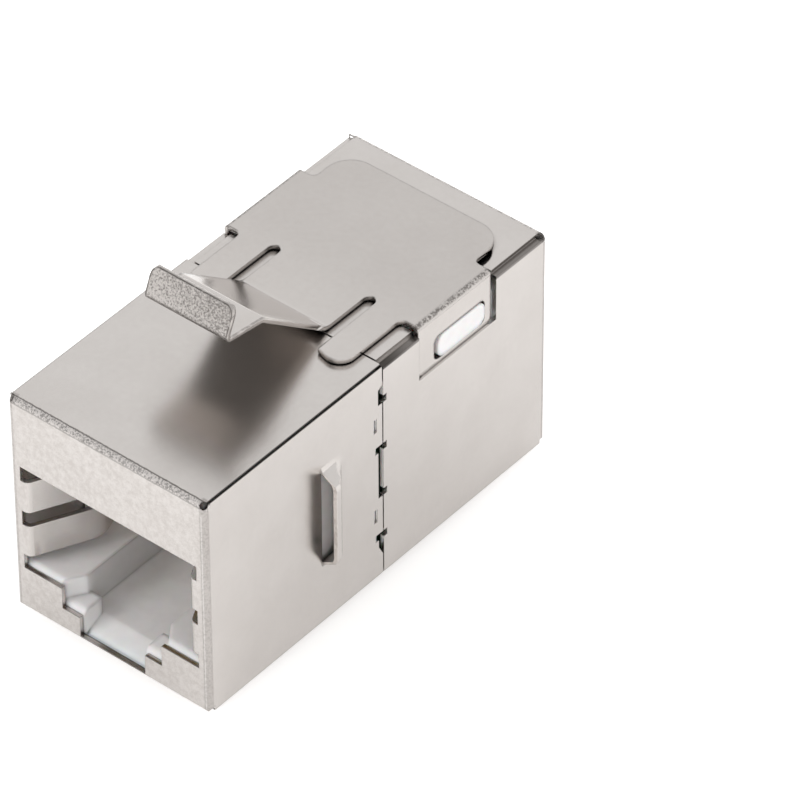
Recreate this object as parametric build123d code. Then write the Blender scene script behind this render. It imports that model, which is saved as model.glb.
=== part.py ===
from build123d import *
import math
import os

# Shielded RJ45 inline coupler of the snap-in kind: two back-to-back jacks in a folded sheet shell.
# Millimetres. X is the width, Y runs from the front port to the rear port, Z is up.
# The model is drawn with the front face at Y = 0 and the bottom plate's underside at Z = 0,
# and is moved at the end so that the middle of its lowest plane is the origin.

# Shell
body_width = 14.5
body_height = 15.85
body_length = 30.1
sheet = 0.3
fold_radius = 0.38
corner_radius = 0.5
corner_relief = 0.24
relief_sides = 8
mitre_gap = 0.1
seam_y = 15.36
seam_gap = 0.1

# Port window in each end plate: margins in from the side, half widths, and heights above the underside
window_top = 10.94
window_margin = 0.95
slot_margin = 0.7
relief_height = 1.05
leaf_height = 2.28
ledge_height = 3.23
ledge_half = 3.74
step_height = 1.72
step_half = 2.45

# Grounding leaves bent inward from the window's sides
leaf_reach = 2.1
leaf_crest_y = 4.0
leaf_crest_radius = 1.5
leaf_tip_y = 5.3
leaf_tip_return = 0.4
leaf_bend = 0.3

# Lanced stops on the sides and lanced catch on the bottom
stop_y = 9.9
stop_z = 4.26
stop_length = 7.5
stop_height = 1.17
stop_run = 2.1
stop_ramps = (1.1, 1.1)
stop_stations = 5
catch_y = 7.7
catch_length = 5.6
catch_height = 0.6
catch_run = 2.0
catch_ramps = (0.7, 0.7)
catch_stations = 3
run_steps = 5

# Castellated seam between the two half shells
open_seam = 0.41
lower_tab_z = 3.26
lower_tab_height = 2.72
upper_tab_z = 9.95
upper_tab_height = 3.05
notch_height = 0.5
notch_front = 0.28
notch_rear = 0.3
lower_slant_z = 1.44
lower_slant = 0.78
upper_slant_z = 14.43
upper_slant = 0.3
barb_slot_height = 1.0
barb_slot_width = 0.27
barb_slot_setback = 0.34
barb_slot_rise = 0.15

# Rear half shell: open seam beside the top flap, and the openings for the latch spring's flaps
top_flap_margin = 0.42
top_flap_front_margin = 0.55
side_top_drop = 0.25
flap_notch_margin = 0.1
flap_notch_below = 0.03
flap_notch_rear = 0.33
flap_notch_reach = 1.3
root_hole_margin = 1.03
root_hole_length = 1.9

# Latch spring, one folded sheet with its own sideways play: lengths ahead of the rear face,
# heights above the shell's top, and margins in from the shell's side
spring_shift = -0.09
spring_lift = 0.08
spring_margin = 1.34
spring_rear = 2.06
spring_rear_radius = 1.7
finger_tip = 16.36
finger_slant = 15
finger_flat = 0.7
flap_front = 11.45
flap_rear = 4.98
flap_margin = 0.07
flap_drop = 3.4
flap_bend = 0.22
flap_corner = 0.4
flap_fillet = 0.4
tongue_bends = (1.2, 0.45, 0.3)
tongue_half = 3.13
lip_half = 2.97
tongue_slot = 0.8
tongue_slot_end = 11.0
tongue_root = 14.68
crest = (19.93, 4.35)
foot = (22.95, 4.75)
lip = (22.1, 6.7)
lip_corner = 0.6
boss_slot_length = 4.55
boss_slot_height = 1.75
boss_slot_ahead = 7.77
boss_slot_drop = 2.25
boss_slot_corner = 0.45

# Plastic housings
fit = 0.03
cavity_margin = 1.3
cavity_wall = 2.05
shoulder_height = 3.5
channel_half = 3.15
channel_floor = 0.95
channel_step = 1.0
block_half = 2.3
block_height = 2.1
block_depth = 1.8
edge_round = 0.35
lead_width = 0.85
lead_length = 1.2
leaf_pocket_depth = 5.6
leaf_pocket_top = 10.6
boss_clearance = 0.06
boss_end_clearance = 0.16
boss_offset = 0.13
boss_sink = 0.03
boss_corner = 0.6
boss_face_margin = 0.14
flap_pocket_margin = 0.65
edge_groove_margin = 1.0
edge_groove_depth = 1.4

# Contact carriers, contacts and circuit board
carrier_half = 4.35
carrier_front = 2.3
carrier_base = 11.95
comb_length = 1.7
comb_bottom = 8.0
contact_count = 8
contact_pitch = 1.02
contact_width = 0.42
contact_thick = 0.25
contact_slot = 0.52
contact_run_rise = 0.2
contact_nose_y = 2.75
contact_nose_radius = 0.5
contact_tip_setback = 1.0
contact_tip_z = 8.55
contact_riser = 1.0
front_row_drops = (2.45, 1.25)
rear_row_drops = (4.95, 6.15)
board_front = 15.08
board_thick = 0.8
board_margin = 0.25
hole_size = 0.66
hole_sides = 8

half_width = body_width / 2
inner_half = half_width - sheet
inner_top = body_height - sheet
front_edge = seam_y - seam_gap
rear_depth = body_length - seam_y
window_half = half_width - window_margin
slot_half = half_width - slot_margin
spring_half = half_width - spring_margin
flap_half = half_width - flap_margin
flap_front_y = body_length - flap_front
flap_rear_y = body_length - flap_rear
flap_bottom_z = body_height - flap_drop
pocket_floor = half_width - flap_pocket_margin
contact_run_z = carrier_base + contact_run_rise


def block(x0, x1, y0, y1, z0, z1):
    """Box between two corners."""
    middle = Pos((x0 + x1) / 2, (y0 + y1) / 2, (z0 + z1) / 2)
    return middle * Box(x1 - x0, y1 - y0, z1 - z0)


def prism(points, sweep):
    """Straight prism: a closed outline of points, carried along a vector."""
    return Solid.extrude(Face(Wire.make_polygon([Vector(*p) for p in points], close=True)), Vector(*sweep))


def both(shape):
    """The shape and its mirror image across the width."""
    return shape + mirror(shape, about=Plane.YZ)


def ribbon(path, width, plane, thickness=sheet):
    """Bent strip: a path drawn in a plane, thickened to the sheet and carried along the plane's normal."""
    return plane * extrude(trace(path, line_width=thickness), amount=width)


def plane_xy(z):
    """Plan plane at a height, its normal up."""
    return Plane.XY.offset(z)


def plane_side(x):
    """Plane that holds Y and Z, its normal along X."""
    return Plane(origin=(x, 0, 0), x_dir=(0, 1, 0), z_dir=(1, 0, 0))


def plane_cross(y):
    """Plane that holds X and Z, its normal along -Y."""
    return Plane(origin=(0, y, 0), x_dir=(1, 0, 0), z_dir=(0, -1, 0))


def reversed_end(shape):
    """A shape drawn for the front end, turned to the rear end."""
    return Pos(0, body_length, 0) * (Rot(0, 0, 180) * shape)


def end_can(depth):
    """Plate with four flaps folded back from it: a can, closed at Y = 0."""
    outer = block(-half_width, half_width, 0, depth, 0, body_height)
    outer = fillet(outer.faces().sort_by(Axis.Y)[0].edges(), fold_radius)
    inner = block(-inner_half, inner_half, sheet, depth + sheet, sheet, inner_top)
    inner = fillet(inner.faces().sort_by(Axis.Y)[0].edges(), fold_radius - sheet)
    return outer - inner


def corner_cut(radius, depth):
    """What rounds the lower right corner of an end plate."""
    edge = half_width - radius
    square = block(edge, half_width + radius, -sheet, depth, -radius, radius)
    return square - Pos(edge, depth / 2, radius) * (Rot(90, 0, 0) * Cylinder(radius, 4 * depth + sheet))


def mitre(z, tilt, start, end):
    """Thin slanting cut along a long edge, which leaves two flaps apart."""
    length = end - start
    place = Pos(half_width - sheet / 2, start + length / 2, z) * Rot(0, tilt, 0)
    return place * Box(mitre_gap, length, 4 * sheet)


def relief_hole():
    """Relief where three folds meet at an upper corner."""
    axis = Plane(origin=(half_width - sheet, sheet, body_height - sheet), z_dir=(1, -1, 1))
    return extrude(axis * RegularPolygon(corner_relief, relief_sides), amount=3 * sheet, both=True)


def window():
    """Stepped port window of an end plate with the gaps that free its leaves."""
    top_gap = window_top - relief_height
    mid_top = top_gap - leaf_height
    mid_gap = mid_top - relief_height
    low_gap = ledge_height + relief_height
    right = [(slot_half, window_top), (slot_half, top_gap), (window_half, top_gap)]
    right += [(window_half, mid_top), (slot_half, mid_top), (slot_half, mid_gap), (window_half, mid_gap)]
    right += [(window_half, low_gap), (slot_half, low_gap), (slot_half, ledge_height)]
    right += [(ledge_half, ledge_height), (ledge_half, step_height)]
    right += [(step_half, step_height), (step_half, sheet)]
    left = [(-x, z) for x, z in reversed(right)]
    return prism([(x, -sheet, z) for x, z in right + left], (0, 3 * sheet, 0))


def leaf(z0, z1):
    """Spring leaf bent inward from the window's right edge: out to a crest and back."""
    inmost = window_half - leaf_reach
    root = (slot_half + sheet, sheet / 2)
    bend = (window_half - sheet / 2, sheet / 2)
    tip = (inmost + leaf_tip_return, leaf_tip_y)
    path = FilletPolyline(root, bend, (inmost, leaf_crest_y), tip, radius=[leaf_bend, leaf_crest_radius])
    return ribbon(path, z1 - z0, plane_xy(z0))


def leaves():
    """The four leaves of one port."""
    upper = window_top - relief_height
    lower = upper - leaf_height - relief_height
    low_end = ledge_height + relief_height
    return both(leaf(upper - leaf_height, upper) + leaf(low_end, lower))


def swell(share):
    """Rise of a drawn slope, 0 to 1, part of the way along it: level at both of its ends."""
    return share ** 3 * (10 - 15 * share + 6 * share ** 2)


def drawn_wall(rise, run, z):
    """Cross-section of a drawn wall: full out at its open edge and flush at the other end of the run."""
    shares = [index / run_steps for index in range(run_steps + 1)]
    outer = [Vector(rise * swell(1 - share), run * share, z) for share in shares]
    inner = [point - Vector(sheet, 0, 0) for point in reversed(outer)]
    return Wire.make_polygon(outer + inner, close=True)


def louver(length, height, run, ramps, stations):
    """Lanced and drawn piece of a wall, and the opening it fills: X outward, Y across, Z along."""
    shares = [index / (stations - 1) for index in range(stations)]
    drawn = Solid.extrude(Face(drawn_wall(height, run, ramps[0])), Vector(0, 0, length - sum(ramps)))
    for start, ramp in ((0, ramps[0]), (length, -ramps[1])):
        sections = [drawn_wall(height * swell(share), run, start + ramp * share) for share in shares]
        drawn = drawn + Solid.make_loft(sections, ruled=True)
    return drawn, block(-2 * sheet, sheet, 0, run, 0, length)


def tabs():
    """Lower and upper end of the two tabs that bridge the seam on each side."""
    return [(lower_tab_z, lower_tab_z + lower_tab_height), (upper_tab_z, upper_tab_z + upper_tab_height)]


def seam_openings():
    """What is cut from the side flaps at the seam, on the right: gaps between the tabs, and their notches."""
    x0 = inner_half - sheet
    depth = (4 * sheet, 0, 0)
    edge = front_edge + seam_gap / 2
    narrow = edge - open_seam
    lower, upper = tabs()
    low = [(narrow, lower_slant_z + lower_slant), (edge, lower_slant_z), (edge, lower[0]), (narrow, lower[0])]
    mid = [(narrow, lower[1]), (edge, lower[1]), (edge, upper[0]), (narrow, upper[0])]
    top = [(narrow, upper[1]), (edge, upper[1]), (edge, upper_slant_z), (narrow, upper_slant_z - upper_slant)]
    cuts = [prism([(x0, y, z) for y, z in outline], depth) for outline in (low, mid, top)]
    rear = seam_y + notch_rear
    for bottom, crown in tabs():
        cuts.append(block(x0, half_width + sheet, narrow - notch_front, rear, bottom - notch_height, bottom))
        cuts.append(block(x0, half_width + sheet, narrow, rear, crown, crown + notch_height))
    return cuts


def barb_rows():
    """Middle heights of the slots that hold the front housing's barbs."""
    return [(bottom + crown) / 2 + barb_slot_rise for bottom, crown in tabs()]


def barb_slots():
    """Slots through the right side flap, just ahead of the seam."""
    rear = front_edge - open_seam
    front = rear - barb_slot_setback
    half = barb_slot_height / 2
    x0 = inner_half - sheet
    return [block(x0, half_width + sheet, front, front + barb_slot_width, z - half, z + half) for z in barb_rows()]


def port_shell(depth):
    """What the two half shells share: the can with its window, leaves, lower seams and lower corners."""
    shell = end_can(depth) - window() + leaves()
    lower = mitre(sheet / 2, -45, corner_radius, depth)
    return shell - both(corner_cut(corner_radius, corner_radius)) - both(lower)


def front_shield():
    """Front half shell with the side stops, the bottom catch and the tabbed rear edge."""
    shell = port_shell(front_edge)
    drawn, opening = louver(stop_length, stop_height, stop_run, stop_ramps, stop_stations)
    stop = Pos(half_width, stop_y, stop_z)
    shell = shell - both(stop * opening) + both(stop * drawn)
    drawn, opening = louver(catch_length, catch_height, catch_run, catch_ramps, catch_stations)
    catch = Plane(origin=(catch_length / 2, catch_y, 0), x_dir=(0, 0, -1), z_dir=(-1, 0, 0)).location
    shell = shell - catch * opening + catch * drawn
    for cut in [mitre(body_height - sheet / 2, 45, fold_radius, front_edge), relief_hole()]:
        shell = shell - both(cut)
    for cut in seam_openings() + barb_slots():
        shell = shell - both(cut)
    return shell


def rear_shield():
    """Rear half shell with the openings that the latch spring's flaps drop into."""
    shell = reversed_end(port_shell(rear_depth))
    top = body_height + sheet
    low = body_height - side_top_drop
    fold = body_length - fold_radius
    side = half_width + sheet
    flap_edge = half_width - top_flap_margin
    cuts = [block(flap_edge, side, seam_y - sheet, fold, low, top)]
    front = flap_front_y - flap_notch_margin
    rear = flap_rear_y + flap_notch_rear
    cuts.append(block(half_width - top_flap_front_margin, side, seam_y - sheet, front, low, top))
    cuts.append(block(flap_edge - flap_notch_reach, side, front, rear, flap_bottom_z - flap_notch_below, top))
    edge = half_width - root_hole_margin
    root = block(edge - root_hole_length, edge, rear - sheet, rear + root_hole_length, low, top)
    cuts.append(fillet(root.edges().filter_by(Axis.Z).sort_by(Axis.Y)[-1:], root_hole_length - sheet))
    cuts.append(reversed_end(mirror(relief_hole(), about=Plane.YZ)))
    for cut in cuts + seam_openings():
        shell = shell - both(cut)
    return shell


def spring_outline():
    """Plan of the latch spring's flat plate: slanting fingers ahead, roots of the flaps, round rear corners."""
    inner = tongue_half + tongue_slot
    finger = spring_half - inner
    inner_y = body_length - finger_tip
    outer_y = inner_y - finger * math.tan(math.radians(finger_slant))
    rear_y = body_length - spring_rear
    front = [(-spring_half, outer_y), (-inner, inner_y), (inner, inner_y), (spring_half, outer_y)]
    plate = make_face(Polyline(*front, (spring_half, rear_y), (-spring_half, rear_y), close=True))
    plate = fillet(plate.vertices().sort_by(Axis.Y)[-2:], spring_rear_radius)
    edge = finger / math.cos(math.radians(finger_slant))
    finger_corner = (edge - finger_flat) * math.tan(math.radians(90 - finger_slant) / 2)
    plate = fillet(plate.vertices().sort_by(Axis.Y)[:2], finger_corner)
    root_half = flap_half - sheet / 2 - flap_bend
    roots = Pos(0, (flap_front_y + flap_rear_y) / 2) * Rectangle(2 * root_half, flap_rear_y - flap_front_y)
    plate = plate + roots
    inside = plate.vertices().filter_by(lambda vertex: abs(abs(vertex.X) - spring_half) < fit)
    plate = fillet([vertex for vertex in inside if flap_front_y - fit < vertex.Y < flap_rear_y + fit], flap_fillet)
    slot_x = tongue_half + tongue_slot / 2
    slot_end = body_length - tongue_slot_end - tongue_slot / 2
    open_y = outer_y - sheet
    gap = Pos(0, (open_y + slot_end) / 2) * Rectangle(2 * inner, slot_end - open_y)
    gap = gap + [Pos(side * slot_x, slot_end) * Circle(tongue_slot / 2) for side in (-1, 1)]
    return plate - gap


def spring_tongue():
    """Sprung latch tongue: up from its root to a crest, along to a foot, and up into a lip."""
    level = body_height + spring_lift + sheet / 2
    start_y = body_length - tongue_slot_end
    root_y = body_length - tongue_root
    points = [(start_y, level), (root_y, level)]
    for ahead, rise in (crest, foot, lip):
        points.append((body_length - ahead, body_height + rise))
    path = FilletPolyline(*points, radius=tongue_bends)
    strip = ribbon(path, 2 * tongue_half, plane_side(-tongue_half))
    front = points[3][0] - 2 * sheet
    plan = [(-lip_half, front), (lip_half, front), (tongue_half, root_y), (tongue_half, start_y)]
    plan += [(-tongue_half, start_y), (-tongue_half, root_y)]
    top = points[4][1] + sheet / 4
    strip = strip & prism([(x, y, 0) for x, y in plan], (0, 0, 2 * top))
    edge = lip_half - lip_corner
    reach = foot[0] - lip[0] + sheet
    square = block(edge, lip_half + lip_corner, front, front + 2 * reach, top - lip_corner, top + lip_corner)
    round_end = Pos(edge, front + reach, top - lip_corner) * (Rot(90, 0, 0) * Cylinder(lip_corner, 4 * reach))
    return strip - both(square - round_end)


def spring_flap():
    """Right side flap, folded down from the plate, with the slot for the housing's boss."""
    level = body_height + spring_lift + sheet / 2
    middle = flap_half - sheet / 2
    path = FilletPolyline((spring_half - sheet, level), (middle, level), (middle, flap_bottom_z), radius=flap_bend)
    flap = ribbon(path, flap_rear_y - flap_front_y, plane_cross(flap_rear_y))
    lower = flap.edges().filter_by(Axis.X).group_by(Axis.Z)[0]
    flap = fillet(lower, flap_corner)
    place = Pos(body_length - boss_slot_ahead, body_height - boss_slot_drop)
    outline = place * RectangleRounded(boss_slot_length, boss_slot_height, boss_slot_corner)
    return flap - extrude(plane_side(inner_half - sheet) * outline, amount=4 * sheet)


def latch_spring():
    """Spring sheet that clips over the rear half shell and carries the latch tongue."""
    floor = body_height + spring_lift
    plate = extrude(Pos(0, 0, floor) * spring_outline(), amount=sheet)
    spring = plate + spring_tongue() + both(spring_flap())
    return Pos(spring_shift, 0, 0) * spring


def housing(depth):
    """Plastic jack housing behind one end plate: shoulders, stepped latch channel and plug cavity."""
    wall = inner_half - fit
    face = sheet + fit
    roof = inner_top - fit
    cavity_half = half_width - cavity_margin
    cavity_depth = depth - cavity_wall
    channel_depth = cavity_depth - channel_step
    body = block(-wall, wall, face, depth, sheet + fit, roof)
    body = body - block(-cavity_half, cavity_half, 0, cavity_depth, shoulder_height, window_top)
    body = body - block(-half_width, half_width, 0, leaf_pocket_depth, shoulder_height, leaf_pocket_top)
    body = body - block(-channel_half, channel_half, block_depth, channel_depth, channel_floor, window_top)
    body = body - block(-channel_half, channel_half, 0, channel_depth, block_height, window_top)
    body = body - block(-block_half, block_half, 0, channel_depth, channel_floor, window_top)
    wide = channel_half + lead_width
    flare = [(channel_half, 0, block_height), (channel_half, face + lead_length, block_height)]
    flare += [(wide, face, block_height), (wide, 0, block_height)]
    body = body - both(prism(flare, (0, 0, window_top - block_height)))
    floor = [(0, 0, sheet + fit), (0, face, sheet + fit), (0, block_depth, channel_floor), (0, 0, channel_floor)]
    body = body - Pos(-block_half, 0, 0) * prism(floor, (2 * block_half, 0, 0))
    opening = carrier_half + fit
    body = body - block(-opening, opening, carrier_front - fit, cavity_depth, window_top - fit, body_height)
    return body - block(-opening, opening, carrier_front, depth + fit, carrier_base - fit, body_height)


def rounded_lips(body):
    """Rounds the front edges of the shoulders and blocks, where a plug is led in."""
    lips = []
    wide = channel_half + lead_width
    for z, x0, x1 in ((shoulder_height, wide, half_width), (block_height, block_half, wide)):
        for edge in body.edges().filter_by(Axis.X):
            middle = edge.center()
            if abs(middle.Z - z) < fit and abs(middle.Y - sheet - fit) < fit and x0 < abs(middle.X) < x1:
                lips.append(edge)
    return fillet(lips, edge_round)


def front_housing():
    """Front jack housing with the barbs that snap into the front half shell."""
    depth = board_front - fit
    body = rounded_lips(housing(depth)) - row_opening(depth, row_heights(front_row_drops))
    rear = front_edge - open_seam - barb_slot_setback + barb_slot_width - fit
    half = barb_slot_height / 2 - fit
    for z in barb_rows():
        front = rear - barb_slot_width + 2 * fit
        barb = block(inner_half - 2 * fit, half_width - sheet / 2, front, rear, z - half, z + half)
        body = body + both(barb)
    return body


def rear_housing():
    """Rear jack housing with the pockets behind the spring's flaps and a boss in each pocket."""
    depth = body_length - board_front - board_thick - fit
    body = rounded_lips(housing(depth))
    body = reversed_end(body - row_opening(depth, row_heights(rear_row_drops)))
    front = flap_front_y - flap_notch_margin
    rear = flap_rear_y + flap_notch_rear
    pocket = block(pocket_floor, half_width, front, rear, flap_bottom_z - flap_notch_below - fit, body_height)
    length = boss_slot_length - 2 * boss_end_clearance
    height = boss_slot_height - 2 * boss_clearance
    place = Pos(body_length - boss_slot_ahead + boss_offset, body_height - boss_slot_drop - boss_sink)
    outline = place * RectangleRounded(length, height, boss_corner)
    stand = flap_pocket_margin - boss_face_margin
    boss = extrude(plane_side(pocket_floor - sheet) * outline, amount=stand + sheet)
    edge = half_width - edge_groove_margin
    groove = block(edge, half_width, 0, body_length, body_height - edge_groove_depth, body_height)
    return body - both(pocket) - both(groove) + both(boss)


def row_heights(drops):
    """Heights of the two rows of tails, from their drops below the shell's top."""
    return [body_height - drop for drop in drops]


def row_floor(rows):
    """Underside of a carrier where its tails leave: below its base if a row runs that low."""
    return min(min(rows) - contact_slot, carrier_base)


def row_opening(depth, rows):
    """Way through a housing's back wall for the tails that run low."""
    opening = carrier_half + fit
    front = depth - contact_riser - contact_slot
    return block(-opening, opening, front, depth + fit, row_floor(rows) - fit, carrier_base)


def contact_x(index):
    """Place across the width of one contact, numbered from 0."""
    return (index - (contact_count - 1) / 2) * contact_pitch


def carrier(depth, rows):
    """Comb insert over the cavity: slots for the contacts' runs, risers, tails and sprung tips."""
    roof = inner_top - 2 * fit
    comb_rear = depth - cavity_wall - fit
    comb_front = comb_rear - comb_length
    body = block(-carrier_half, carrier_half, carrier_front, depth, carrier_base, roof)
    body = body + block(-carrier_half, carrier_half, comb_front, comb_rear, comb_bottom, carrier_base)
    riser = depth - contact_riser - contact_slot + fit
    body = body + block(-carrier_half, carrier_half, riser, depth, row_floor(rows), carrier_base + fit)
    half = contact_slot / 2
    run_top = contact_run_z + half
    for index in range(contact_count):
        x = contact_x(index)
        z = rows[index % 2]
        body = body - block(x - half, x + half, carrier_front - fit, depth + fit, carrier_base - fit, run_top)
        tip_rear = comb_front + contact_riser
        body = body - block(x - half, x + half, comb_front - fit, tip_rear, comb_bottom + fit, carrier_base)
        ends = sorted((z - half, contact_run_z - half)) + sorted((z + half, run_top))
        body = body - block(x - half, x + half, riser + fit, depth + fit, ends[0], ends[-1])
    return body


def contact(index, depth, rows):
    """Sprung contact: tail through the board, riser, run, nose, and the slanting part a plug presses."""
    x0 = contact_x(index) - contact_width / 2
    half = contact_thick / 2
    tail_y = depth + board_thick / 2 + fit
    tail_z = rows[index % 2]
    riser_y = depth - contact_riser / 2 - contact_slot / 2
    tip_y = depth - cavity_wall - contact_tip_setback
    points = [(riser_y, contact_run_z), (contact_nose_y, contact_run_z), (tip_y, contact_tip_z)]
    strip = ribbon(FilletPolyline(*points, radius=contact_nose_radius), contact_width, plane_side(x0), contact_thick)
    ends = sorted((tail_z, contact_run_z))
    riser = block(x0, x0 + contact_width, riser_y - half, riser_y + half, ends[0] - half, ends[1] + half)
    tail = block(x0, x0 + contact_width, riser_y, tail_y, tail_z - half, tail_z + half)
    return strip + riser + tail


def circuit_board():
    """Board between the two jacks, with a plated hole for each tail."""
    edge = inner_half - board_margin
    board = block(-edge, edge, board_front, board_front + board_thick, sheet + board_margin, inner_top - board_margin)
    front_rows = row_heights(front_row_drops)
    rear_rows = row_heights(rear_row_drops)
    holes = []
    for index in range(contact_count):
        holes.append((contact_x(index), front_rows[index % 2]))
        holes.append((-contact_x(index), rear_rows[index % 2]))
    middle = board_front + board_thick / 2
    outline = RegularPolygon(hole_size / 2, hole_sides)
    hole = plane_cross(middle + board_thick) * extrude(outline, amount=2 * board_thick)
    for x, z in holes:
        board = board - Pos(x, 0, z) * hole
    return board


front_depth = board_front - fit
rear_port_depth = body_length - board_front - board_thick - fit
front_rows = row_heights(front_row_drops)
rear_rows = row_heights(rear_row_drops)

nodes = {
    "front_shield": front_shield(),
    "rear_shield": rear_shield(),
    "latch_spring": latch_spring(),
    "front_housing": front_housing(),
    "rear_housing": rear_housing(),
    "front_contact_carrier": carrier(front_depth, front_rows),
    "rear_contact_carrier": reversed_end(carrier(rear_port_depth, rear_rows)),
    "circuit_board": circuit_board(),
}
for number in range(contact_count):
    nodes[f"front_contact_{number + 1}"] = contact(number, front_depth, front_rows)
    nodes[f"rear_contact_{number + 1}"] = reversed_end(contact(number, rear_port_depth, rear_rows))

to_rest = Location((0, -body_length / 2, catch_height))
os.makedirs("parts", exist_ok=True)
for name, shape in nodes.items():
    export_step(shape.moved(to_rest), f"parts/{name}.step")
    print(name, len(shape.solids()), round(shape.volume, 3))
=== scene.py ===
# %% [markdown]
# # A shielded RJ45 inline coupler
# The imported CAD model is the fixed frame: two folded half shells, a latch spring, two white
# jack housings and what is inside them. Its shapes are kept, and this script gives them their
# finishes, the light, the floor and the camera. Lengths are in metres, +Z is up and the front
# port faces -Y.

# %% Load the frame
import math

import bpy
from mathutils import Matrix, Vector


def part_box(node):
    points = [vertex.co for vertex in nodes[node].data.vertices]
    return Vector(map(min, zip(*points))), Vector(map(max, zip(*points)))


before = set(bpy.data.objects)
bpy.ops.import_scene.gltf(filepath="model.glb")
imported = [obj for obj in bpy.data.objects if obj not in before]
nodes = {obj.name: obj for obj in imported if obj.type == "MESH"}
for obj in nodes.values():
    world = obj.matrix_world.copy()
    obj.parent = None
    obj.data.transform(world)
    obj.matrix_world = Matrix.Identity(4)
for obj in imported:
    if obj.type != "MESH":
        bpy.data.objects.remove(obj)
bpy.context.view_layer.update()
MM = 0.001

# %% [markdown]
# ## Where the shell is
# Some finishes depend on how near a spot is to a fold. The outer planes of the shell and the
# spring are read from the frame, so that those finishes follow them if a size changes. The
# clip's plate lies over the shell's top, so its own top is a gap and a sheet higher.

# %% Outer planes, in millimetres
SHEET = 0.30
CLIP_GAP = 0.08
rear_low, rear_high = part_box("rear_shield")
SIDE_X = rear_high.x / MM
END_Y = rear_high.y / MM
TOP_Z = rear_high.z / MM
BASE_Z = rear_low.z / MM
spring_low, spring_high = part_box("latch_spring")
SPRING_X = (spring_low.x + spring_high.x) / 2 / MM
SPRING_HALF = (spring_high.x - spring_low.x) / 2 / MM
LIP_TOP = spring_high.z / MM
CLIP_TOP = TOP_Z + CLIP_GAP + SHEET
print("side, end, top and base planes in mm:", [round(v, 2) for v in (SIDE_X, END_Y, TOP_Z, BASE_Z)])
print("spring's middle, half width and lip in mm:", [round(v, 2) for v in (SPRING_X, SPRING_HALF, LIP_TOP)])

# %% [markdown]
# ## Helpers for node trees
# A procedural finish is a small network of nodes. These helpers add a node, join two sockets
# and do arithmetic, so that each recipe below reads like a list of steps. A value that is given
# to them may be a plain number or the output of another node.

# %% Nodes and arithmetic
def add(tree, kind, **values):
    node = tree.nodes.new(kind)
    for name, value in values.items():
        setattr(node, name, value)
    return node


def feed(tree, value, socket):
    if isinstance(value, bpy.types.NodeSocket):
        tree.links.new(value, socket)
    else:
        socket.default_value = value


def calc(tree, operation, first, second=0.0, third=0.0, clamp=False):
    node = add(tree, "ShaderNodeMath", operation=operation, use_clamp=clamp)
    for value, socket in zip((first, second, third), node.inputs):
        feed(tree, value, socket)
    return node.outputs[0]


def times(tree, first, second):
    return calc(tree, "MULTIPLY", first, second)


def minus(tree, first, second):
    return calc(tree, "SUBTRACT", first, second)


def larger(tree, first, second, clamp=False):
    return calc(tree, "MAXIMUM", first, second, clamp=clamp)


def size_of(tree, value):
    """A number without its sign."""
    return calc(tree, "ABSOLUTE", value)


# %% Ranges and noise
def ramp(tree, value, low, high, start=0.0, end=1.0):
    """A number that goes smoothly from start to end while the value goes from low to high."""
    node = add(tree, "ShaderNodeMapRange", interpolation_type="SMOOTHSTEP")
    for socket, item in zip(node.inputs, (value, low, high, start, end)):
        feed(tree, item, socket)
    return node.outputs[0]


def under(tree, value, low, high, most=1.0):
    """The given most while the value is below low, and 0 from high on."""
    return ramp(tree, value, low, high, most, 0.0)


def between(tree, value, low, high, soft):
    """1 between the two numbers and 0 outside them."""
    return times(tree, ramp(tree, value, low, low + soft), under(tree, value, high - soft, high))


def blend(tree, factor, first, second):
    """A number that goes from the first to the second with the factor."""
    return calc(tree, "MULTIPLY_ADD", minus(tree, second, first), factor, first)


def noise(tree, vector, scale, detail=2.0, rough=0.5):
    node = add(tree, "ShaderNodeTexNoise")
    tree.links.new(vector, node.inputs["Vector"])
    for name, value in (("Scale", scale), ("Detail", detail), ("Roughness", rough)):
        feed(tree, value, node.inputs[name])
    return node.outputs["Fac"]


def tint(tree, factor, first, second):
    """Colour that goes from the first to the second with the factor."""
    node = add(tree, "ShaderNodeMix", data_type="RGBA")
    tree.links.new(factor, node.inputs["Factor"])
    feed(tree, first if isinstance(first, bpy.types.NodeSocket) else (*first, 1), node.inputs[6])
    feed(tree, second if isinstance(second, bpy.types.NodeSocket) else (*second, 1), node.inputs[7])
    return node.outputs[2]


# %% Place and direction of a spot
def millimetres(tree):
    """Object coordinates in millimetres, and their three numbers."""
    place = add(tree, "ShaderNodeTexCoord").outputs["Object"]
    scaled = add(tree, "ShaderNodeVectorMath", operation="SCALE")
    tree.links.new(place, scaled.inputs[0])
    scaled.inputs["Scale"].default_value = 1 / MM
    split = add(tree, "ShaderNodeSeparateXYZ")
    tree.links.new(scaled.outputs[0], split.inputs[0])
    return scaled.outputs[0], split.outputs


def face_direction(tree):
    """The three numbers of the direction that a face looks in."""
    split = add(tree, "ShaderNodeSeparateXYZ")
    tree.links.new(add(tree, "ShaderNodeNewGeometry").outputs["True Normal"], split.inputs[0])
    return split.outputs


def stretch(tree, vector, factors):
    node = add(tree, "ShaderNodeVectorMath", operation="MULTIPLY")
    tree.links.new(vector, node.inputs[0])
    node.inputs[1].default_value = factors
    return node.outputs[0]


# %% Groups and materials
def group(name, inputs, outputs):
    """An empty node group with named inputs and outputs, all plain numbers."""
    tree = bpy.data.node_groups.new(name, "ShaderNodeTree")
    for label, value in inputs:
        socket = tree.interface.new_socket(label, in_out="INPUT", socket_type="NodeSocketFloat")
        socket.default_value = value
    for label in outputs:
        tree.interface.new_socket(label, in_out="OUTPUT", socket_type="NodeSocketFloat")
    return tree, tree.nodes.new("NodeGroupInput").outputs, tree.nodes.new("NodeGroupOutput").inputs


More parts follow.
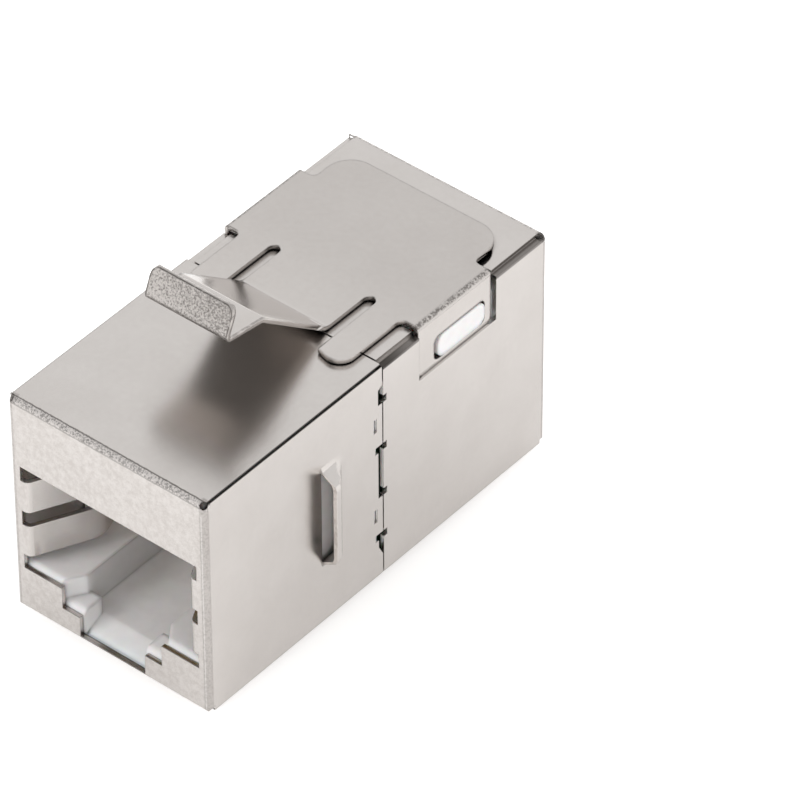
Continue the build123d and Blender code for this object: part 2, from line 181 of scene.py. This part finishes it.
def use(tree, made, **values):
    node = add(tree, "ShaderNodeGroup", node_tree=made)
    for label, value in values.items():
        feed(tree, value, node.inputs[label])
    return node.outputs


def surface(name, **values):
    """A new material and its shader, with uniform values set on the shader's own sockets."""
    material = bpy.data.materials.new(name)
    material.use_nodes = True
    shader = material.node_tree.nodes["Principled BSDF"]
    for label, value in values.items():
        shader.inputs[label.replace("_", " ")].default_value = value
    return material, material.node_tree, shader


def bump(tree, shader, height, strength, depth, edge):
    """Bump in the shader's normal and edges rounded to a radius, both in millimetres."""
    rounded = add(tree, "ShaderNodeBevel", samples=6)
    rounded.inputs["Radius"].default_value = edge * MM
    node = add(tree, "ShaderNodeBump")
    tree.links.new(rounded.outputs[0], node.inputs["Normal"])
    node.inputs["Strength"].default_value = strength
    node.inputs["Distance"].default_value = depth * MM
    tree.links.new(height, node.inputs["Height"])
    tree.links.new(node.outputs[0], shader.inputs["Normal"])


# %% [markdown]
# ## Gap shade
# Gaps, slots and grooves are dark on the real coupler, because little light gets in. An
# Ambient Occlusion node says how much of the air around a spot is free, and the group turns
# that number into a darkness. The shells, the spring and the plastics share it, with different
# limits.

# %% Group: gap shade
GAP_INPUTS = [("Free", 1.0), ("Low", 0.3), ("High", 0.8), ("Strength", 1.0)]
gap_shade, given, out = group("gap shade", GAP_INPUTS, ["Dark"])
shut_in = under(gap_shade, given["Free"], given["Low"], given["High"])
gap_shade.links.new(times(gap_shade, shut_in, given["Strength"]), out["Dark"])


def gaps(tree, reach, low, high, strength):
    """Painted shade deep inside gaps, as a darkness for the colour. The reach, in millimetres, is how far
    the air is looked at.
    """
    air = add(tree, "ShaderNodeAmbientOcclusion", samples=6)
    air.inputs["Distance"].default_value = reach * MM
    return use(tree, gap_shade, Free=air.outputs["AO"], Low=low, High=high, Strength=strength)["Dark"]


print("group:", gap_shade.name)

# %% [markdown]
# ## Sheet grain
# Plated steel sheet isn't even. The real one has pale cloudy patches of a third of a
# millimetre, a fine grain inside them, and slow changes over several millimetres. Three
# noises of those sizes are added up. They go in a group, because the shells and the spring
# share them with different strengths.

# %% Group: sheet grain
CLOUDS_PER_MM = 2.6
GRAINS_PER_MM = 14.0
DRIFTS_PER_MM = 0.33
DRIFT_STRENGTH = 0.35
sheet_grain, given, out = group("sheet grain", [("Cloud", 1.0), ("Grain", 1.0)], ["Shade", "Height"])
place, _ = millimetres(sheet_grain)
cloud = minus(sheet_grain, noise(sheet_grain, place, CLOUDS_PER_MM, 3.0, 0.6), 0.5)
grain = minus(sheet_grain, noise(sheet_grain, place, GRAINS_PER_MM, 2.0, 0.6), 0.5)
drift = minus(sheet_grain, noise(sheet_grain, place, DRIFTS_PER_MM, 1.0, 0.5), 0.5)
cloud = times(sheet_grain, cloud, given["Cloud"])
grain = times(sheet_grain, grain, given["Grain"])
slow = calc(sheet_grain, "MULTIPLY_ADD", drift, DRIFT_STRENGTH, 0.5)
height = calc(sheet_grain, "ADD", cloud, grain)
sheet_grain.links.new(calc(sheet_grain, "ADD", height, slow), out["Shade"])
sheet_grain.links.new(height, out["Height"])
print("group:", sheet_grain.name)

# %% [markdown]
# ## Fold marks
# Where the sheet was folded over a sharp tool, its plating is crushed: a thin dark line runs
# along each side of the fold, and the band between them is stippled. For two planes that meet
# in a fold, the difference of the distances to them runs across it from one plane to the other,
# so the lines and the band are ranges of that difference. A noise makes the lines wander.

# %% Group: fold
FOLD_ENDS = (0.48, 0.56)
LINE_PLACE = 0.93
LINE_EDGE = (0.02, 0.085)
LINE_WANDER = 0.16
SECOND_LINE = 0.55
BAND_EDGE = (0.85, 1.0)
FOLD_INPUTS = [("First", 1.0), ("Second", 1.0), ("Radius", 0.38)]
fold, given, out = group("fold", FOLD_INPUTS, ["Lines", "Band"])
place, _ = millimetres(fold)
across = minus(fold, given["First"], given["Second"])
inside = under(fold, larger(fold, given["First"], given["Second"]), *FOLD_ENDS)
stipple = noise(fold, place, 5.0, 3.0, 0.7)
wander = calc(fold, "MULTIPLY_ADD", minus(fold, stipple, 0.5), LINE_WANDER, across)
sides = []
for sign in (1, -1):
    line = times(fold, given["Radius"], sign * LINE_PLACE)
    sides.append(under(fold, size_of(fold, minus(fold, wander, line)), *LINE_EDGE))
lines = calc(fold, "MULTIPLY_ADD", sides[1], SECOND_LINE, sides[0])
fold.links.new(times(fold, lines, inside), out["Lines"])
band = under(fold, calc(fold, "DIVIDE", size_of(fold, across), given["Radius"]), *BAND_EDGE)
fold.links.new(times(fold, band, inside), out["Band"])
print("group:", fold.name)

# %% [markdown]
# ## Plated sheet
# The half shells are nickel-plated steel with a satin face: warm pale grey, with soft
# reflections. It's a metal in the shader. The first step works out how far a spot is from the
# shell's planes, because the marks lie along them. The grain is strong on the two end plates
# and faint on the long faces.

# %% Plated sheet: grain and folds
PALE = (0.70, 0.668, 0.645)
DULL = (0.60, 0.565, 0.54)
CRUSHED_AND_SHADE = (0.16, 0.145, 0.135)
PAINTED_HIGHLIGHT = (0.90, 0.87, 0.85)
PAINTED_SEAM_SHADE = (0.04, 0.035, 0.03)
SHADE_RANGE = (0.1, 0.9)
LEVEL_RADIUS = 0.35

shell_finish, tree, shader = surface("plated sheet", Metallic=1.0)
place, axis = millimetres(tree)
facing = face_direction(tree)
to_side = minus(tree, SIDE_X, size_of(tree, axis["X"]))
to_end = minus(tree, END_Y, size_of(tree, axis["Y"]))
to_top = minus(tree, TOP_Z, axis["Z"])
end_plate = under(tree, to_end, 0.02, 0.10)
smooth = use(tree, sheet_grain, Cloud=0.22, Grain=0.12)
mottled = use(tree, sheet_grain, Cloud=1.5, Grain=1.1)
shade = blend(tree, end_plate, smooth["Shade"], mottled["Shade"])
height = blend(tree, end_plate, smooth["Height"], mottled["Height"])
level = use(tree, fold, First=to_end, Second=to_top, Radius=LEVEL_RADIUS)
upright = use(tree, fold, First=to_end, Second=to_side)
colour = tint(tree, ramp(tree, shade, *SHADE_RANGE), DULL, PALE)
print("material:", shell_finish.name)

# %% [markdown]
# ### Painted highlights on the shells
# The cut edges of the side plates are painted bright, as a highlight. So are the open edge of a side stop,
# in patches, and the rounded face of the level folds at the ends. Which way a face looks tells a cut edge
# from the plate beside it.

# %% Plated sheet: painted highlights
EDGE_SOFT = 0.02
STOP_HIGHLIGHT = 0.6
FOLD_HIGHLIGHT = 0.9
cut = under(tree, size_of(tree, facing["X"]), 0.3, 0.5)
cut = times(tree, cut, between(tree, to_side, EDGE_SOFT, SHEET, EDGE_SOFT))
cut = times(tree, cut, ramp(tree, to_top, 0.8, 1.0))
drawn = times(tree, under(tree, facing["Y"], -0.7, -0.5), under(tree, to_side, -0.25, -0.1))
drawn = times(tree, drawn, ramp(tree, noise(tree, place, 3.0), 0.38, 0.5, 0.0, STOP_HIGHLIGHT))
# Painted highlights: these places are lightened towards a near-white colour.
bright = larger(tree, larger(tree, cut, drawn), times(tree, level["Band"], FOLD_HIGHLIGHT))
colour = tint(tree, bright, colour, PAINTED_HIGHLIGHT)
print("bright places: cut edges, stops, level folds")

# %% [markdown]
# ### Dark marks and painted shade on the shells
# The folds carry dark lines and specks, the upright folds fewer than the level ones, and the lines of the
# level fold are weak at the rear. The mitre between the top plate and the right side plate is painted in
# shade, narrow on the front shell and wide on the rear one. Gaps are painted in shade, save on the cut edges
# and along the top's left edge.

# %% Plated sheet: dark marks and painted shade
LINE_DARK = 0.85
REAR_LINES = 0.1
UPRIGHT_LINES = 0.25
UPRIGHT_BAND = 0.4
MITRE_FRONT = 0.17
MITRE_REAR = 0.46
MITRE_SHADE = 0.86
SHELL_GAP_SHADE = 0.9
SPARED_GAP_SHADE = 0.05
crease = times(tree, level["Lines"], ramp(tree, axis["Y"], -1.0, 1.0, 1.0, REAR_LINES))
lines = calc(tree, "MULTIPLY_ADD", upright["Lines"], UPRIGHT_LINES, crease)
bands = calc(tree, "MULTIPLY_ADD", upright["Band"], UPRIGHT_BAND, level["Band"], clamp=True)
speckle = under(tree, noise(tree, place, 7.5, 3.0, 0.75), 0.40, 0.54, 0.55)
dark = larger(tree, times(tree, lines, LINE_DARK), times(tree, level["Band"], speckle))
upright_dark = times(tree, upright["Band"], calc(tree, "MULTIPLY_ADD", speckle, 0.35, 0.22))
dark = larger(tree, dark, upright_dark)

# Painted shade along the mitre seam between the top plate and the right side plate.
width = ramp(tree, axis["Y"], 0.15, 0.3, MITRE_FRONT, MITRE_REAR)
mitre = minus(tree, width, larger(tree, size_of(tree, to_side), to_top))
mitre = times(tree, ramp(tree, mitre, 0.0, 0.08), ramp(tree, axis["X"], 0.0, 1.0))
dark = larger(tree, dark, times(tree, mitre, MITRE_SHADE))

# Painted shade in gaps, spared on the cut edges and along the top's left edge.
left_edge = times(tree, under(tree, axis["X"], -6.7, -6.4), under(tree, to_top, 0.5, 0.7))
spared = larger(tree, cut, left_edge)
strength = calc(tree, "MULTIPLY_ADD", spared, SPARED_GAP_SHADE - SHELL_GAP_SHADE, SHELL_GAP_SHADE)
dark = larger(tree, dark, gaps(tree, 0.6, 0.3, 0.8, strength), clamp=True)
print("dark marks: fold lines and specks, mitre, gaps")

# %% [markdown]
# ### The shells' colour, roughness and relief
# The dark marks and the painted shade lie over the painted highlights. The mitre's painted shade is darkest
# on the front shell and fades from the seam to the clip's flap. Folds are rough, and the end plates blur a
# reflection more than the long faces. The stipple rises a little and the fold lines sink in.

# %% Plated sheet: sockets
MITRE_AHEAD = 0.85
FOLD_ROUGH = 0.8
STIPPLE_HEIGHT = 3.0
# The crushed plating and the painted shade share one dark colour. Ahead of the clip's flap the mitre's
# painted shade goes near black.
colour = tint(tree, dark, colour, CRUSHED_AND_SHADE)
ahead = under(tree, axis["Y"], 0.5, 3.6, MITRE_AHEAD)
colour = tint(tree, times(tree, mitre, ahead), colour, PAINTED_SEAM_SHADE)
tree.links.new(colour, shader.inputs["Base Color"])
long_rough = ramp(tree, shade, *SHADE_RANGE, 0.27, 0.21)
end_rough = ramp(tree, shade, *SHADE_RANGE, 0.42, 0.30)
rough = blend(tree, end_plate, long_rough, end_rough)
tree.links.new(blend(tree, bands, rough, FOLD_ROUGH), shader.inputs["Roughness"])
stipple = times(tree, noise(tree, place, 6.0, 3.0, 0.7), times(tree, bands, STIPPLE_HEIGHT))
height = calc(tree, "ADD", height, minus(tree, stipple, lines))
bump(tree, shader, height, 0.4, 0.02, 0.07)
for name in ("front_shield", "rear_shield"):
    nodes[name].data.materials[0] = shell_finish
print("finished:", shell_finish.name)

# %% [markdown]
# ## Spring sheet
# The latch spring is the same metal with a sharper shine. The first step works out where its
# parts are: the lip is the upright face at the tongue's end, and the raised part is what stands
# above the clip's plate.

# %% Spring sheet: its parts
SPRING_PALE = (0.68, 0.645, 0.62)
FLAP_RADIUS = 0.37
spring_finish, tree, shader = surface("spring sheet", Metallic=1.0)
place, axis = millimetres(tree)
facing = face_direction(tree)
off_middle = size_of(tree, minus(tree, axis["X"], SPRING_X))
to_side = minus(tree, SPRING_HALF, off_middle)
to_top = minus(tree, CLIP_TOP, axis["Z"])
below = minus(tree, LIP_TOP, axis["Z"])
raised = under(tree, to_top, -0.35, -0.15)
tongue_end = under(tree, below, 2.25, 2.5)
lip = times(tree, tongue_end, under(tree, facing["Y"], -0.6, -0.3))
smooth = use(tree, sheet_grain, Cloud=0.3, Grain=0.2)
bend = use(tree, fold, First=to_side, Second=to_top, Radius=FLAP_RADIUS)
colour = tint(tree, ramp(tree, smooth["Shade"], *SHADE_RANGE), DULL, SPRING_PALE)
print("material:", spring_finish.name)

# %% [markdown]
# ### The lip
# The lip's face is stippled all over, a little more to the right and to the top. A dark line
# runs along its rim, round the two upper corners, and its foot is dark. How far a spot is from
# the rim is worked out as for a plate with round corners.

# %% Spring sheet: lip
LIP_HALF = 2.97
LIP_CORNER = 0.6
LIP_DARK = 0.82
RIM_EDGE = (0.05, 0.11)
RIM_BEHIND = 0.45
RIM_IN_FRONT = 0.9
outward = larger(tree, minus(tree, off_middle, LIP_HALF - LIP_CORNER), 0.0)
upward = larger(tree, minus(tree, axis["Z"], LIP_TOP - LIP_CORNER), 0.0)
from_corner = calc(tree, "MULTIPLY_ADD", outward, outward, times(tree, upward, upward))
to_rim = minus(tree, LIP_CORNER, calc(tree, "SQRT", from_corner))
rim = times(tree, under(tree, to_rim, *RIM_EDGE), ramp(tree, noise(tree, place, 3.0), 0.35, 0.5, 0.35, 1.0))
rim = times(tree, rim, blend(tree, lip, RIM_BEHIND, RIM_IN_FRONT))

slope = calc(tree, "MULTIPLY_ADD", minus(tree, axis["X"], SPRING_X), 0.02, 0.57)
heavy = calc(tree, "MULTIPLY_ADD", minus(tree, axis["Z"], LIP_TOP - 1.0), 0.04, slope)
stipple = noise(tree, place, 8.0, 4.0, 0.75)
foot = calc(tree, "ADD", ramp(tree, below, 1.75, 1.85, 0.0, 0.3), ramp(tree, below, 2.12, 2.2, 0.0, 0.5))
dark = times(tree, lip, under(tree, stipple, 0.38, heavy, LIP_DARK))
dark = larger(tree, dark, times(tree, lip, foot))
dark = larger(tree, dark, times(tree, tongue_end, rim))
print("lip: stipple, rim and foot")

# %% [markdown]
# ### Flap folds, gaps and the clip's plate
# The fold of each side flap carries a row of short dark marks along its middle. Gaps are painted in shade,
# and the clip's plate goes a little darker towards the rear.

# %% Spring sheet: marks and gaps
MARK_DARK = 0.85
SPRING_GAP_SHADE = 0.85
ROW_SHIFT = -0.08
REARWARD = (0.18, 0.165, 0.15)
marks = ramp(tree, noise(tree, place, 7.0, 3.0, 0.7), 0.42, 0.54)
off_row = size_of(tree, calc(tree, "ADD", minus(tree, to_side, to_top), ROW_SHIFT))
marks = times(tree, times(tree, marks, bend["Band"]), under(tree, off_row, 0.12, 0.30))
dark = larger(tree, dark, times(tree, marks, MARK_DARK))
# Painted shade in gaps.
dark = larger(tree, dark, gaps(tree, 0.9, 0.3, 0.7, SPRING_GAP_SHADE), clamp=True)
clip_plate = under(tree, size_of(tree, to_top), 0.03, 0.08)
rearward = times(tree, clip_plate, ramp(tree, axis["Y"], -1.0, 7.0, 0.02, 0.13))
colour = tint(tree, rearward, colour, REARWARD)
print("marks: flap folds, gaps, clip's plate")

# %% [markdown]
# ### The spring's roughness and rolled edges
# Stamping rolled the tongue's edges over, the right one over a wider strip. A roll is too slight
# to show in the outline, but it bends the reflection, so it is a height that falls with the
# square of the way past the line where the roll starts.

# %% Spring sheet: sockets
ROLL_START = (2.45, 1.6)
ROLL_DEPTH = -13.0
PIT_HEIGHT = 4.0
PITTED_ROUGH = 0.36
# Marks, stipple and the painted gap shade darken the colour.
tree.links.new(tint(tree, dark, colour, CRUSHED_AND_SHADE), shader.inputs["Base Color"])
rough = ramp(tree, smooth["Shade"], *SHADE_RANGE, 0.20, 0.13)
pitted = larger(tree, lip, bend["Band"])
tree.links.new(blend(tree, pitted, rough, PITTED_ROUGH), shader.inputs["Roughness"])
roll_start = ramp(tree, axis["X"], SPRING_X - 0.5, SPRING_X + 0.5, *ROLL_START)
past = larger(tree, minus(tree, off_middle, roll_start), 0.0)
rolled = times(tree, times(tree, past, past), times(tree, raised, ROLL_DEPTH))
pits = times(tree, pitted, times(tree, stipple, PIT_HEIGHT))
height = calc(tree, "ADD", calc(tree, "ADD", smooth["Height"], pits), rolled)
bump(tree, shader, height, 0.5, 0.02, 0.2)
nodes["latch_spring"].data.materials[0] = spring_finish
print("finished:", spring_finish.name)

# %% [markdown]
# ## Moulded plastics
# The jacks are white moulded plastic with a matt, faintly uneven skin. A little light goes into it, so its
# shadows are soft. Shade is painted into its colour where a gap closes over it, and on the side walls deep
# inside the ports. The comb inserts aren't seen well, and are given the same kind of plastic, undyed.

# %% Materials: plastics
WHITE = ((0.92, 0.905, 0.905), (0.88, 0.865, 0.865))
UNDYED = ((0.78, 0.76, 0.71), (0.72, 0.70, 0.65))
PAINTED_WALL_SHADE = (0.12, 0.11, 0.105)
WALL_SHADE_STRENGTH = 0.34
PAINTED_GAP_SHADE = (0.10, 0.09, 0.085)
PLASTIC_GAP_SHADE = 0.68
SKIN_RANGE = (0.3, 0.7)


def moulded(name, colours, rough):
    """Plastic between a pale and a dull colour. Its roughness is least where it is pale."""
    pale, dull = colours
    material, tree, shader = surface(name, Subsurface_Weight=0.15, Subsurface_Scale=0.0006)
    place, axis = millimetres(tree)
    facing = face_direction(tree)
    skin = noise(tree, place, 1.1, 2.0, 0.5)
    colour = tint(tree, ramp(tree, skin, *SKIN_RANGE), dull, pale)
    # Painted shade: walls that face across, deep inside the ports, and gaps are darkened.
    wall_shade = ramp(tree, size_of(tree, facing["X"]), 0.8, 0.95)
    wall_shade = times(tree, wall_shade, under(tree, size_of(tree, axis["X"]), 5.0, 5.4, WALL_SHADE_STRENGTH))
    deep = ramp(tree, minus(tree, END_Y, size_of(tree, axis["Y"])), 1.2, 2.2)
    colour = tint(tree, times(tree, wall_shade, deep), colour, PAINTED_WALL_SHADE)
    colour = tint(tree, gaps(tree, 0.4, 0.15, 0.6, PLASTIC_GAP_SHADE), colour, PAINTED_GAP_SHADE)
    tree.links.new(colour, shader.inputs["Base Color"])
    tree.links.new(ramp(tree, skin, *SKIN_RANGE, rough + 0.06, rough), shader.inputs["Roughness"])
    bump(tree, shader, noise(tree, place, 9.0, 2.0, 0.5), 0.15, 0.01, 0.4)
    return material


white = moulded("white plastic", WHITE, 0.42)
undyed = moulded("carrier plastic", UNDYED, 0.45)
for name in ("front_housing", "rear_housing"):
    nodes[name].data.materials[0] = white
for name in ("front_contact_carrier", "rear_contact_carrier"):
    nodes[name].data.materials[0] = undyed
print("materials:", white.name, undyed.name)

# %% [markdown]
# ## Board and contacts
# The circuit board is green laminate under a satin mask. The contacts are gold-plated bronze
# with fine draw lines along their length, which is the Y axis: a noise is squeezed across them
# and stretched along them.

# %% Materials: board and contacts
# The board's green is made very dark: painted shade for where it shows through the openings.
SHADED_BOARD_GREEN = ((0.005, 0.020, 0.009), (0.010, 0.034, 0.015))
GOLD = ((0.62, 0.42, 0.13), (0.78, 0.57, 0.22))
DRAW_LINES = (18.0, 0.6, 6.0)
board, tree, shader = surface("board mask", Roughness=0.35)
place, _ = millimetres(tree)
weave = noise(tree, stretch(tree, place, (2.0, 2.0, 2.0)), 3.0, 2.0)
tree.links.new(tint(tree, weave, *SHADED_BOARD_GREEN), shader.inputs["Base Color"])
nodes["circuit_board"].data.materials[0] = board

gold, tree, shader = surface("contact gold", Metallic=1.0)
place, _ = millimetres(tree)
drawn_lines = noise(tree, stretch(tree, place, DRAW_LINES), 1.0, 2.0)
tree.links.new(tint(tree, drawn_lines, *GOLD), shader.inputs["Base Color"])
tree.links.new(ramp(tree, drawn_lines, 0.3, 0.7, 0.30, 0.20), shader.inputs["Roughness"])
for name, node in nodes.items():
    if "_contact_" in name and not name.endswith("carrier"):
        node.data.materials[0] = gold
print("materials:", board.name, gold.name)

# %% [markdown]
# ## Floor
# The object stands on a pale floor. To the camera and in reflections the floor glows, so that
# it looks white, and its matt part still takes a faint shadow. It glows less within 30 mm of
# the object's middle, where the object shades it.

# %% Floor
FLOOR = (0.82, 0.81, 0.80, 1)
WHITE_LIGHT = (1, 1, 1, 1)
CAMERA_GLOW = 0.2
NEAR_GLOW = 0.22
FAR_GLOW = 0.45
bpy.ops.object.select_all(action="DESELECT")
bpy.ops.mesh.primitive_plane_add(size=6.0, location=(0, 0, 0))
floor = bpy.context.object
floor.name = "floor"
material = bpy.data.materials.new("pale floor")
material.use_nodes = True
tree = material.node_tree
tree.nodes.clear()
seen = add(tree, "ShaderNodeLightPath").outputs
shown = larger(tree, larger(tree, seen["Is Camera Ray"], seen["Is Glossy Ray"]), seen["Is Transmission Ray"])
_, axis = millimetres(tree)
squares = calc(tree, "MULTIPLY_ADD", axis["X"], axis["X"], times(tree, axis["Y"], axis["Y"]))
glow_level = ramp(tree, calc(tree, "SQRT", squares), 5.0, 30.0, NEAR_GLOW, FAR_GLOW)
glow_level = calc(tree, "MULTIPLY_ADD", seen["Is Camera Ray"], CAMERA_GLOW, glow_level)
glow = add(tree, "ShaderNodeEmission")
glow.inputs["Color"].default_value = WHITE_LIGHT
tree.links.new(times(tree, shown, glow_level), glow.inputs["Strength"])
matt = add(tree, "ShaderNodeBsdfDiffuse")
matt.inputs["Color"].default_value = FLOOR
both = add(tree, "ShaderNodeAddShader")
tree.links.new(matt.outputs[0], both.inputs[0])
tree.links.new(glow.outputs[0], both.inputs[1])
floor_end = add(tree, "ShaderNodeOutputMaterial")
tree.links.new(both.outputs[0], floor_end.inputs["Surface"])
floor.data.materials.append(material)
print("floor:", material.name)

# %% [markdown]
# ## Sky
# A white sky lights the object from all sides, as in a light tent. It is a little brighter in
# reflections. One patch of it, high at the front left, is darker, and to this camera the
# rounded fold along the shell's upper front edge mirrors it.

# %% Sky
SKY = 0.80
BRIGHT = 0.936
DARK_SIDE = Vector((-0.48, -0.54, 0.69)).normalized()
DARKEST = 0.17
BACKDROP = 1.1
world = bpy.data.worlds.new("light tent")
bpy.context.scene.world = world
world.use_nodes = True
tree = world.node_tree
tree.nodes.clear()
seen = add(tree, "ShaderNodeLightPath").outputs
shown = larger(tree, seen["Is Camera Ray"], seen["Is Transmission Ray"])
towards = add(tree, "ShaderNodeVectorMath", operation="DOT_PRODUCT")
tree.links.new(add(tree, "ShaderNodeTexCoord").outputs["Generated"], towards.inputs[0])
towards.inputs[1].default_value = DARK_SIDE
open_sky = ramp(tree, towards.outputs["Value"], 0.76, 0.96, 1.0, DARKEST)
strength = calc(tree, "MULTIPLY_ADD", seen["Is Glossy Ray"], BRIGHT - SKY, SKY)
strength = larger(tree, times(tree, open_sky, strength), times(tree, shown, BACKDROP))
sky = add(tree, "ShaderNodeBackground")
sky.inputs["Color"].default_value = WHITE_LIGHT
tree.links.new(strength, sky.inputs["Strength"])
sky_end = add(tree, "ShaderNodeOutputWorld")
tree.links.new(sky.outputs[0], sky_end.inputs["Surface"])
print("sky:", world.name)

# %% [markdown]
# ## Lamps
# Two soft lamps, one at the front left and one at the right, shape the light on the plastic and
# the floor. They are left out of reflections, because a lamp's square would show in the plating.

# %% Lamps
AIM = Vector((0, 0, 0.008))


def lamp(name, place, size, watts):
    """A square soft lamp that points at the object's middle."""
    data = bpy.data.lights.new(name, "AREA")
    data.size = size
    data.energy = watts
    made = bpy.data.objects.new(name, data)
    bpy.context.scene.collection.objects.link(made)
    made.location = place
    made.rotation_mode = "QUATERNION"
    made.rotation_quaternion = (AIM - made.location).to_track_quat("-Z", "Y")
    made.visible_glossy = False
    return made


front_lamp = lamp("front softbox", (-0.20, -0.35, 0.24), 0.22, 0.85)
side_lamp = lamp("side softbox", (0.40, 0.16, 0.14), 0.24, 0.66)
print("lamps:", front_lamp.name, side_lamp.name)

# %% [markdown]
# ## Camera
# The camera's place and lens were fitted to the object's edges: it looks down at the front
# right corner from 0.4 m through a long lens. The object stands off the picture's middle, so
# the camera is moved across its own line of sight.

# %% Camera
AZIMUTH = math.radians(39.7375)
ELEVATION = math.radians(41.4730)
ROLL = math.radians(-0.2301)
DISTANCE = 402.921 * MM
OFF_AXIS = (-16.274 * MM, -14.680 * MM)
FRONT_FOOT = Vector((0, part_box("front_shield")[0].y, BASE_Z * MM))
level = Vector((math.cos(AZIMUTH), math.sin(AZIMUTH), 0))
outward = Vector((math.sin(AZIMUTH), -math.cos(AZIMUTH), 0))
back = outward * math.cos(ELEVATION) + Vector((0, 0, math.sin(ELEVATION)))
upright = back.cross(level)
right = level * math.cos(ROLL) + upright * math.sin(ROLL)
up = upright * math.cos(ROLL) - level * math.sin(ROLL)
camera = bpy.data.objects.new("camera", bpy.data.cameras.new("camera"))
bpy.context.scene.collection.objects.link(camera)
camera.data.sensor_width = 36.0
camera.data.lens = 319.88
camera.data.clip_start = 0.01
camera.data.clip_end = 20.0
camera.location = FRONT_FOOT - right * OFF_AXIS[0] - up * OFF_AXIS[1] + back * DISTANCE
camera.rotation_mode = "QUATERNION"
camera.rotation_quaternion = Matrix((right, up, back)).transposed().to_quaternion()
bpy.context.scene.camera = camera
bpy.context.scene.view_settings.view_transform = "Standard"
print("camera at", [round(v, 4) for v in camera.location])
